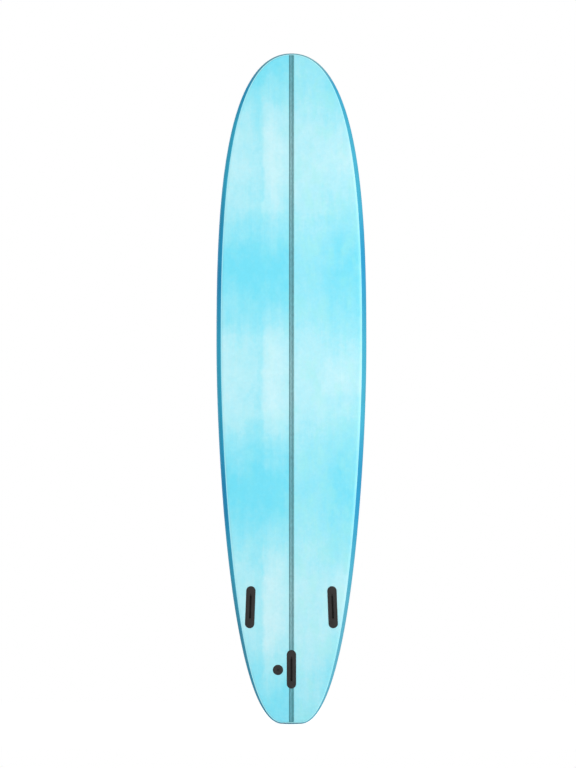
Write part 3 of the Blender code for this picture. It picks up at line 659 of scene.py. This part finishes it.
beadFoam = {
    "bead": 4,
    "seamWidth": 0.12,        # as a share of a bead
    "darkAt": 0.8,            # how far from its middle a bead is darkest, as a share too
    "light": "#EFF1EE",
    "dark": "#DDE1DF",
    "seam": "#BFC6C6",
    "bump": {"Distance": 0.0003, "Strength": 0.6},
    "shader": {"Roughness": 0.82, "IOR": 1.5},
}


def makeBeadFoam():
    # Expanded polystyrene, steam-moulded in a block and hot-wire cut: white beads pressed flat together
    made, tree, shader, place = newMaterial("expandedPolystyrene")
    voronoi = {"Vector": place, "Scale": 1000 / beadFoam["bead"]}
    edges = addNode(tree, "TexVoronoi", voronoi, feature="DISTANCE_TO_EDGE")
    middles = addNode(tree, "TexVoronoi", voronoi, feature="F1")
    fill = addNode(tree, "MapRange", (edges, 0.0, beadFoam["seamWidth"], 0.0, 1.0))
    tone = addNode(tree, "MapRange", (middles, 0.0, beadFoam["darkAt"], 0.0, 1.0))
    bead = addNode(tree, "Mix", {0: tone, 6: beadFoam["light"], 7: beadFoam["dark"]})
    colour = addNode(tree, "Mix", {0: fill, 6: beadFoam["seam"], 7: bead})
    finishShader(tree, shader, beadFoam, colour, fill)
    return made


woods = {
    "sawnPoplar": {"tones": ((0.32, "#CDB994"), (0.68, "#B79E74")), "ring": 4},
    "stainedVeneer": {"tones": ((0.32, "#4C4B45"), (0.68, "#37362F")), "ring": 2},
    "ringLength": 166.7,
    "pore": (0.385, 0.385, 16.67),
    "poreBy": (0.82, 1.0),
    "poreWithin": (0.3, 0.5),
    "bump": {"Distance": 0.0002, "Strength": 0.5},
    "shader": {"Roughness": 0.68, "IOR": 1.5},
}


def makeWood(name):
    # Sawn timber: long grain with early and late wood and dark pores, matt from the saw
    made, tree, shader, place = newMaterial(name)
    ring = woods[name]["ring"]
    grain = patchy(tree, place, (ring, ring, woods["ringLength"]), detail=4.0, roughness=0.6)
    colour = addNode(tree, "ValToRGB", (grain,), woods[name]["tones"])
    pores = patchy(tree, place, woods["pore"], woods["poreBy"], woods["poreWithin"])
    finishShader(tree, shader, woods, colour, grain, shade=pores)
    return made


# Each material slot of the record and its material
finishes = {
    "slick": makeSlick(),
    "rail_foam": makeRailFoam(),
    "deck_foam": makeEmbossedFoam(),
    "black_nylon": makeNylon(),
    "steel": makeSteel("stainlessSteel"),
    "black_steel": makeSteel("blackOxideSteel"),
    "core_foam": makeBeadFoam(),
    "stringer_wood": makeWood("sawnPoplar"),
    "stringer_veneer": makeWood("stainedVeneer"),
}
print("materials made")

# Making pieces
gap = board["gap"]
beyond = 0.010                # how far a cutter runs past what it cuts
weldWithin = 1e-6
cornerAngle = math.radians(40)      # an edge that turns more than this is a corner to round
cutterObjects = []


def newObject(name, bm, place=Matrix()):
    bm.transform(place)
    mesh = bpy.data.meshes.new(name)
    bm.to_mesh(mesh)
    bm.free()
    made = bpy.data.objects.new(name, mesh)
    bpy.context.scene.collection.objects.link(made)
    return made


def finishPiece(name, bm, slotName, nodes, cutters=(), place=Matrix(), wall=0.0, rounding=0.0, sharp=35):
    # makes a bmesh a finished piece on the root body, with its place, wall, holes and roundings in its mesh
    made = newObject(name, bm, place)
    if wall:
        solid = made.modifiers.new("wall", "SOLIDIFY")
        solid.thickness, solid.offset, solid.use_even_offset = wall, -1.0, True
    for cutter in cutters:
        hole = made.modifiers.new("hole", "BOOLEAN")
        hole.operation, hole.solver, hole.object = "DIFFERENCE", "EXACT", cutter
    if rounding:
        edge = made.modifiers.new("edge", "BEVEL")
        edge.width, edge.segments, edge.limit_method = rounding, 3, "ANGLE"
        edge.angle_limit = cornerAngle
    if made.modifiers:
        ready = bpy.data.meshes.new_from_object(made.evaluated_get(bpy.context.evaluated_depsgraph_get()))
        made.modifiers.clear()
        made.data = ready
        ready.name = name
    made.data.materials.clear()
    made.data.materials.append(finishes[slotName])
    made.data.shade_smooth()
    made.data.set_sharp_from_angle(angle=math.radians(sharp))
    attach(made, "root")
    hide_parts(*nodes)
    return made


def placedCutter(bm, place):
    cutterObjects.append(newObject("cutter", bm, place))
    return cutterObjects[-1]


def sheet(section, columns, outwards, side=0, startX=0.0):
    # a grid, shaped row by row onto the board's surface, on one side, -1 or 1, or on both.
    # u runs across it and v from the tail to the nose
    rows = outlineRows(startX)
    bm = bmesh.new()
    bmesh.ops.create_grid(bm, x_segments=columns, y_segments=len(rows) - 1, size=1)
    places = {}
    for vertex in bm.verts:
        u, v = vertex.co.x, (vertex.co.y + 1) / 2
        row = rows[round(v * (len(rows) - 1))]
        share = (u + 1) / 2 if side else abs(u)
        place, distance = section(row, min(share, 1.0))
        place.x *= side or math.copysign(1, u)
        places[vertex] = (place, distance)
    edgeMap = bm.loops.layers.uv.new("edgeDistance")
    for face in bm.faces:
        for loop in face.loops:
            place, distance = places[loop.vert]
            loop[edgeMap].uv = (distance, place.z)
    for vertex, (place, _) in places.items():
        vertex.co = place
    bmesh.ops.remove_doubles(bm, verts=bm.verts[:], dist=weldWithin)
    bmesh.ops.dissolve_degenerate(bm, edges=bm.edges[:], dist=weldWithin)
    bmesh.ops.recalc_face_normals(bm, faces=bm.faces[:])
    if sum(face.normal.dot(outwards) * face.calc_area() for face in bm.faces) < 0:
        bmesh.ops.reverse_faces(bm, faces=bm.faces[:])
    return bm


def stadiumLoop(bm, length, width, height, shift=0.0, steps=48):
    # the edges of a bar's outline with round ends along Y
    radius = width / 2 / math.cos(math.pi / steps)
    verts = bmesh.ops.create_circle(bm, cap_ends=False, segments=steps, radius=radius)["verts"]
    bmesh.ops.rotate(bm, verts=verts, cent=(0, 0, 0), matrix=Matrix.Rotation(math.pi / steps, 3, "Z"))
    for vertex in verts:
        vertex.co.y += math.copysign((length - width) / 2, vertex.co.y) + shift
        vertex.co.z = height
    return list({edge for vertex in verts for edge in vertex.link_edges})


def loftedLoops(loops):
    # a closed body through the outlines of bars, with caps on the first and the last
    bm = bmesh.new()
    rings = [stadiumLoop(bm, *loop) for loop in loops]
    for first, second in zip(rings, rings[1:]):
        bmesh.ops.bridge_loops(bm, edges=first + second)
    for ring in (rings[0], rings[-1]):
        bmesh.ops.edgeloop_fill(bm, edges=ring)
    bmesh.ops.recalc_face_normals(bm, faces=bm.faces[:])
    return bm


def turnedBody(profile, facets):
    # a turned body from (radius, height) points. A profile that starts off the axis is a ring's
    bm = bmesh.new()
    verts = [bm.verts.new((radius, 0, height)) for radius, height in profile]
    for first, second in zip(verts, verts[1:]):
        bm.edges.new((first, second))
    if profile[0][0] > 0:
        bm.edges.new((verts[-1], verts[0]))
    bmesh.ops.spin(
        bm, geom=bm.verts[:] + bm.edges[:], cent=(0, 0, 0), axis=(0, 0, 1), angle=2 * math.pi,
        steps=facets, use_merge=True,
    )
    bmesh.ops.remove_doubles(bm, verts=bm.verts[:], dist=weldWithin)
    bmesh.ops.recalc_face_normals(bm, faces=bm.faces[:])
    return bm


def rod(radius, low, high, facets=32):
    return turnedBody([(0, high), (radius, high), (radius, low), (0, low)], facets)


def hexBody(radius, low, high):
    bm = bmesh.new()
    bmesh.ops.create_cone(bm, cap_ends=True, segments=6, radius1=radius, radius2=radius, depth=high - low)
    bmesh.ops.translate(bm, verts=bm.verts[:], vec=(0, 0, (high + low) / 2))
    return bm


# Fin boxes: flange on the bottom, body and slot inside, lock screw, and bolts from the deck in their ferrules
finBox = {
    "padWidth": 0.038, "padThickness": 0.0032, "proud": 0.0008, "edgeRound": 0.0008,
    "bodyWidth": 0.0214, "bodyDepth": 0.020, "setback": 0.0113,
    "slotLength": 0.093, "slotWidth": 0.0075, "slotDepth": 0.016, "slotMouth": 0.0006,
    "boltMargin": 0.024, "boltBite": 0.013, "lockFromSlot": 0.0046,
}
finBoxPlaces = {
    "left": {"x": -0.168, "z": 0.4785, "turn": math.radians(-2.2), "length": 0.172, "slotShift": 0.0},
    "right": {"x": 0.168, "z": 0.4785, "turn": math.radians(2.2), "length": 0.172, "slotShift": 0.0},
    "centre": {"x": 0.0, "z": 0.2245, "turn": 0.0, "length": 0.158, "slotShift": -0.003},
}
bolt = {
    "radius": 0.0025, "head": 0.005, "rim": 0.0006, "lip": 0.0002, "sunk": 0.0006, "socket": 0.0021,
    "socketDepth": 0.0024, "facets": 40,
}
ferrule = {
    "flange": 0.010, "height": 0.0072, "sunk": 0.0003, "chamfer": 0.0010, "barrel": 0.0048, "length": 0.012,
    "edgeRound": 0.00035, "facets": 56,
}
lock = {
    "radius": 0.0020, "length": 0.0045, "edge": 0.0003, "sunk": 0.0022, "socket": 0.0011,
    "socketDepth": 0.0018, "tilt": math.radians(45), "facets": 32,
}
slickHoles, deckHoles = [], []


def boltProfile(head, tip, way):
    neck = head + way * (bolt["rim"] + bolt["head"] - bolt["radius"])
    chamfer = bolt["radius"] / 3
    profile = [
        (0, tip), (bolt["radius"] - chamfer, tip), (bolt["radius"], tip - way * chamfer),
        (bolt["radius"], neck), (bolt["head"], head + way * bolt["rim"]),
        (bolt["head"] - bolt["lip"], head), (0, head),
    ]
    return profile[::way]


def countersink(head, way):
    # heights of a countersink's wide and narrow edge, clear of the bolt's head all round
    rim = head + way * (bolt["rim"] + gap * (math.sqrt(2) - 1))
    return rim, rim + way * (bolt["head"] - bolt["radius"])


def insideSlot(point, shift):
    # whether a point of the flange's face is on the slot's mouth rather than on the flange's rim
    reach = finBox["slotMouth"] * 2
    wide, long = finBox["slotWidth"] / 2 + reach, finBox["slotLength"] / 2 + reach
    return abs(point.x) < wide and abs(point.y - shift) < long


def finBoxBody(length, shift):
    proud, mouth = finBox["proud"], finBox["slotMouth"]
    back = proud - finBox["padThickness"]
    bodyLength = length - 2 * finBox["setback"]
    bm = loftedLoops([
        (bodyLength, finBox["bodyWidth"], -finBox["bodyDepth"]),
        (bodyLength, finBox["bodyWidth"], back),
        (length, finBox["padWidth"], back),
        (length, finBox["padWidth"], proud),
        (finBox["slotLength"] + 2 * mouth, finBox["slotWidth"] + 2 * mouth, proud, shift),
        (finBox["slotLength"], finBox["slotWidth"], proud - mouth, shift),
        (finBox["slotLength"], finBox["slotWidth"], proud - finBox["slotDepth"], shift),
    ])
    rim = [
        edge for edge in bm.edges
        if all(abs(v.co.z - proud) < weldWithin and not insideSlot(v.co, shift) for v in edge.verts)
        and len(edge.link_faces) == 2 and edge.calc_face_angle() > cornerAngle
    ]
    bmesh.ops.bevel(
        bm, geom=rim, offset=finBox["edgeRound"], offset_type="OFFSET", segments=4, profile=0.5,
        affect="EDGES", material=-1,
    )
    return bm


def makeLockScrew(side, place, shift):
    # tilted towards the slot's nose end. Returns the cutter of its hole
    mouth = shift + finBox["slotLength"] / 2 + finBox["lockFromSlot"]
    lie = place @ Matrix.Translation((0, mouth, finBox["proud"])) @ Matrix.Rotation(-lock["tilt"], 4, "X")
    top, radius, edge = -lock["sunk"], lock["radius"], lock["edge"]
    low = top - lock["length"]
    profile = [(0, top), (radius - edge, top), (radius, top - edge), (radius, low), (0, low)]
    screw = turnedBody(profile, lock["facets"])
    key = placedCutter(hexBody(lock["socket"], top - lock["socketDepth"], 0.0), lie)
    finishPiece("grub_screw_" + side, screw, "black_steel", ["fin_lock_screw_" + side], [key], lie)
    return placedCutter(rod(radius + gap, low - gap, lock["length"]), lie)


def makeDeckBolt(name, spot):
    # a bolt from the deck in its flanged ferrule. Returns the cutter of its thread in the fin box
    face = ferrule["sunk"] - depthToDeck(spot)
    head = face + bolt["sunk"]
    rim, neck = countersink(head, 1)
    under = face + ferrule["height"]
    mouth, bore = under + ferrule["length"], bolt["radius"] + gap
    ring = turnedBody([
        (ferrule["barrel"], mouth), (ferrule["barrel"], under), (ferrule["flange"], under),
        (ferrule["flange"], face + ferrule["chamfer"]), (ferrule["flange"] - ferrule["chamfer"], face),
        (bolt["head"] + gap, face), (bolt["head"] + gap, rim), (bore, neck), (bore, mouth),
    ], ferrule["facets"])
    finishPiece(
        "flanged_ferrule_" + name, ring, "black_nylon", ["deck_ferrule_" + name],
        place=spot, rounding=ferrule["edgeRound"],
    )
    tip = finBox["boltBite"] - finBox["bodyDepth"]
    shank = turnedBody(boltProfile(head, tip, 1), bolt["facets"])
    socket = placedCutter(hexBody(bolt["socket"], head - bolt["head"], head + bolt["socketDepth"]), spot)
    finishPiece("countersunk_bolt_" + name, shank, "black_steel", ["fin_bolt_" + name], [socket], spot)
    seat = rod(ferrule["flange"] + gap, face - beyond, under, ferrule["facets"])
    deckHoles.append(placedCutter(seat, spot))
    return placedCutter(rod(bore, -finBox["bodyDepth"] - beyond, tip + gap), spot)


def makeFinBox(side, spec):
    place = bottomFrame(spec["x"], spec["z"], spec["turn"])
    length, shift = spec["length"], spec["slotShift"]
    bm = finBoxBody(length, shift)
    cutters = [makeLockScrew(side, place, shift)]
    for end, sign in (("front", 1), ("rear", -1)):
        spot = place @ Matrix.Translation((0, sign * (length / 2 - finBox["boltMargin"]), 0))
        cutters.append(makeDeckBolt(side + "_" + end, spot))
    finishPiece("moulded_fin_box_" + side, bm, "black_nylon", ["fin_box_" + side], cutters, place, sharp=30)
    seat = (length + 2 * gap, finBox["padWidth"] + 2 * gap)
    recess = loftedLoops([(*seat, finBox["proud"] - finBox["padThickness"] - gap), (*seat, beyond)])
    slickHoles.append(placedCutter(recess, place))


for side, spec in finBoxPlaces.items():
    makeFinBox(side, spec)
print("fin boxes, bolts and ferrules made")

# Leash plug: plate on the bottom, cup and cross bar in the deck
leash = {
    "x": -0.055, "z": 0.222, "facets": 72,
    "plate": 0.021, "plateEdge": 0.0008, "plateLip": 0.0002, "plateRound": 0.00025,
    "spigot": 0.0075, "spigotLength": 0.005,
    "rim": 0.019, "rimHeight": 0.006, "rimEdge": 0.0012, "mouthEdge": 0.0008, "sunk": 0.0016,
    "body": 0.015, "depth": 0.022, "wall": 0.003, "floor": 0.004, "floorEdge": 0.002,
    "stem": 0.0065, "bite": 0.012,
    "bar": 0.00175, "barEdge": 0.0003, "barDepth": 0.0062, "barInset": 0.0006, "barFacets": 32,
}


def makeLeashCup(place, face, stemEnd):
    cavity, cupFloor = leash["body"] - leash["wall"], face + leash["depth"] - leash["floor"]
    rimBack, bodyEnd = face + leash["rimHeight"], face + leash["depth"]
    tip, bore = stemEnd - leash["bite"] - gap, bolt["radius"] + gap
    mouth, edge = leash["mouthEdge"], leash["floorEdge"]
    cup = turnedBody([
        (0, tip), (bore, tip), (bore, stemEnd), (leash["stem"], stemEnd), (leash["stem"], bodyEnd),
        (leash["body"], bodyEnd), (leash["body"], rimBack), (leash["rim"], rimBack),
        (leash["rim"], face + leash["rimEdge"]), (leash["rim"] - leash["rimEdge"], face),
        (cavity + mouth, face), (cavity, face + mouth), (cavity, cupFloor + edge), (cavity - edge, cupFloor),
        (0, cupFloor),
    ], leash["facets"])
    across = Matrix.Translation((0, 0, face + leash["barDepth"])) @ Matrix.Rotation(math.pi / 2, 4, "Y")
    lie = place @ across
    barHole = placedCutter(rod(leash["bar"] + gap / 2, -leash["rim"], leash["rim"]), lie)
    finishPiece("leash_plug_cup", cup, "black_nylon", ["leash_cup"], [barHole], place, sharp=32)
    half, radius, edge = leash["body"] - leash["barInset"], leash["bar"], leash["barEdge"]
    bar = turnedBody([
        (0, half), (radius - edge, half), (radius, half - edge),
        (radius, edge - half), (radius - edge, -half), (0, -half),
    ], leash["barFacets"])
    finishPiece("leash_cross_bar", bar, "steel", ["leash_bar"], place=lie)
    seat = rod(leash["rim"] + gap, face - 2 * beyond, rimBack, leash["facets"])
    deckHoles.append(placedCutter(seat, place))


def makeLeashPlate(place, back, spigotEnd, tip):
    proud, head = finBox["proud"], finBox["proud"] - bolt["sunk"]
    rim, neck = countersink(head, -1)
    wide, bore = bolt["head"] + gap, bolt["radius"] + gap
    plate = turnedBody([
        (wide, proud), (leash["plate"] - leash["plateEdge"], proud),
        (leash["plate"] - leash["plateLip"], proud - leash["plateLip"]),
        (leash["plate"], proud - leash["plateEdge"]), (leash["plate"], back), (leash["spigot"], back),
        (leash["spigot"], spigotEnd), (bore, spigotEnd), (bore, neck), (wide, rim),
    ], leash["facets"])
    finishPiece(
        "leash_plate", plate, "black_nylon", ["leash_base_plate"], place=place, rounding=leash["plateRound"],
    )
    screw = turnedBody(boltProfile(head, tip, -1), bolt["facets"])
    socket = placedCutter(hexBody(bolt["socket"], head - bolt["socketDepth"], head + bolt["head"]), place)
    finishPiece("leash_plate_screw", screw, "black_steel", ["leash_screw"], [socket], place)
    seat = rod(leash["plate"] + gap, back - gap, beyond, leash["facets"])
    slickHoles.append(placedCutter(seat, place))


def makeLeashPlug():
    place = bottomFrame(leash["x"], leash["z"])
    back = finBox["proud"] - finBox["padThickness"]
    spigotEnd = back - leash["spigotLength"]
    stemEnd = spigotEnd - gap
    makeLeashCup(place, leash["sunk"] - depthToDeck(place), stemEnd)
    makeLeashPlate(place, back, spigotEnd, stemEnd - leash["bite"])


makeLeashPlug()
print("leash plug made")

# Skins: slick bottom, rail foam and deck foam
skins = {"slickWall": 0.0015, "foamWall": 0.0055, "edgeRound": 0.0004, "columns": 44, "railColumns": 26}
bm = sheet(slickSection, skins["columns"], Vector((0, -1, 0)))
finishPiece("slick_bottom", bm, "slick", ["bottom_skin"], slickHoles, wall=skins["slickWall"])
bm = sheet(deckSection, skins["columns"], Vector((0, 1, 0)))
deckSheet = finishPiece("deck_foam_sheet", bm, "deck_foam", ["deck_skin"], deckHoles, wall=skins["foamWall"])
for side, sign in (("left", -1), ("right", 1)):
    bm = sheet(railSection, skins["railColumns"], Vector((sign, 0, 0)), sign, gap / 2)
    rail = finishPiece(
        "rail_foam_" + side, bm, "rail_foam", ["rail_strip_" + side], wall=skins["foamWall"],
        rounding=skins["edgeRound"],
    )
for cutter in cutterObjects:
    bpy.data.objects.remove(cutter, do_unlink=True)
print("skins made")

# CAD nodes inside keep their shape and get their material
inside = {
    "foam_core_left": "core_foam",
    "foam_core_right": "core_foam",
    "stringer_slat": "stringer_wood",
    "stringer_veneer_left": "stringer_veneer",
    "stringer_veneer_right": "stringer_veneer",
}
for name, slotName in inside.items():
    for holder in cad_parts[name].material_slots:
        holder.material = finishes[slotName]
print("inside materials set")

# Floor, lamps, world and camera
studio = {
    "world": 0.632,
    "floorRadius": 7.0,
    "floorDrop": 0.0004,
    "floorNear": 1.0,         # the shadow on the floor fades out between these distances from the board
    "floorFar": 3.2,
    "floorOwn": 0.64,         # the part of the white near the board that no shadow takes away
    "floorLit": 0.62,
    "key": {"from": (3.8, -6.28, 1.6), "size": 6.0, "power": 332.0},
    "back": {"from": (-3.6, 6.6, 2.2), "size": 5.0, "power": 221.0},
    "aim": (0.0, 0.0, 1.37),
}


def seenWhite(tree):
    # 1 where the background shows: straight to the camera, in gloss and through glass
    path = addNode(tree, "LightPath").outputs
    seen = addNode(tree, "Math", (path["Is Camera Ray"], path["Is Glossy Ray"]), operation="MAXIMUM")
    return addNode(tree, "Math", (seen, path["Is Transmission Ray"]), operation="MAXIMUM")


def makeWorld():
    world = bpy.data.worlds.new("studioWorld")
    bpy.context.scene.world = world
    world.use_nodes = True
    tree = world.node_tree
    tree.nodes.clear()
    strength = addNode(tree, "MapRange", (seenWhite(tree), 0.0, 1.0, studio["world"], 1.0))
    light = addNode(tree, "Background", {"Color": "#FFFFFF", "Strength": strength})
    addNode(tree, "OutputWorld", {"Surface": light})


def makeFloor():
    bm = bmesh.new()
    bmesh.ops.create_circle(bm, cap_ends=True, cap_tris=True, segments=96, radius=studio["floorRadius"])
    bmesh.ops.translate(bm, verts=bm.verts[:], vec=(0, 0, -studio["floorDrop"]))
    floor = newObject("floor", bm)
    made = bpy.data.materials.new("palePaintedFloor")
    made.use_nodes = True
    tree = made.node_tree
    tree.nodes.clear()
    place = addNode(tree, "TexCoord").outputs["Object"]
    off = addNode(tree, "VectorMath", (place,), operation="LENGTH")
    # near the board the white is partly the floor's own and partly what the lamps and the world light
    own, lit = (
        addNode(
            tree, "MapRange", (off, studio["floorNear"], studio["floorFar"], near, far),
            interpolation_type="SMOOTHSTEP",
        )
        for near, far in ((studio["floorOwn"], 1.0), (studio["floorLit"], 0.0))
    )
    white = addNode(tree, "Emission", {"Color": "#FFFFFF", "Strength": own})
    shade = addNode(tree, "BsdfDiffuse", {"Color": lit})
    seen = addNode(tree, "AddShader", (white, shade))
    paint = addNode(tree, "BsdfDiffuse", {"Color": "#F2F2F2"})
    surface = addNode(tree, "MixShader", (seenWhite(tree), paint, seen))
    addNode(tree, "OutputMaterial", {"Surface": surface})
    floor.data.materials.append(made)


def makeLamp(name, spec):
    lamp = bpy.data.lights.new(name, "AREA")
    lamp.shape, lamp.size, lamp.energy = "SQUARE", spec["size"], spec["power"]
    made = bpy.data.objects.new(name, lamp)
    made.location = spec["from"]
    made.rotation_euler = (Vector(studio["aim"]) - Vector(spec["from"])).to_track_quat("-Z", "Y").to_euler()
    bpy.context.scene.collection.objects.link(made)


# The camera is square on to the bottom and far away, as the photo shows no perspective
camera = {
    "lens": 500.0, "sensor": 36.0, "pixelsHigh": 768, "metresPerPixel": 0.004088, "x": -0.014, "z": 1.390,
    "clip": (1.0, 200.0),
}


def makeCamera():
    data = bpy.data.cameras.new("camera")
    data.lens, data.sensor_width, data.sensor_fit = camera["lens"], camera["sensor"], "AUTO"
    data.clip_start, data.clip_end = camera["clip"]
    made = bpy.data.objects.new("camera", data)
    distance = camera["pixelsHigh"] * camera["metresPerPixel"] * camera["lens"] / camera["sensor"]
    made.location = (camera["x"], -distance, camera["z"])
    made.rotation_euler = (math.pi / 2, 0, 0)
    bpy.context.scene.collection.objects.link(made)
    bpy.context.scene.camera = made


makeWorld()
makeFloor()
makeLamp("keySoftbox", studio["key"])
makeLamp("backSoftbox", studio["back"])
makeCamera()
bpy.context.scene.view_settings.view_transform = "Standard"
print("studio made")
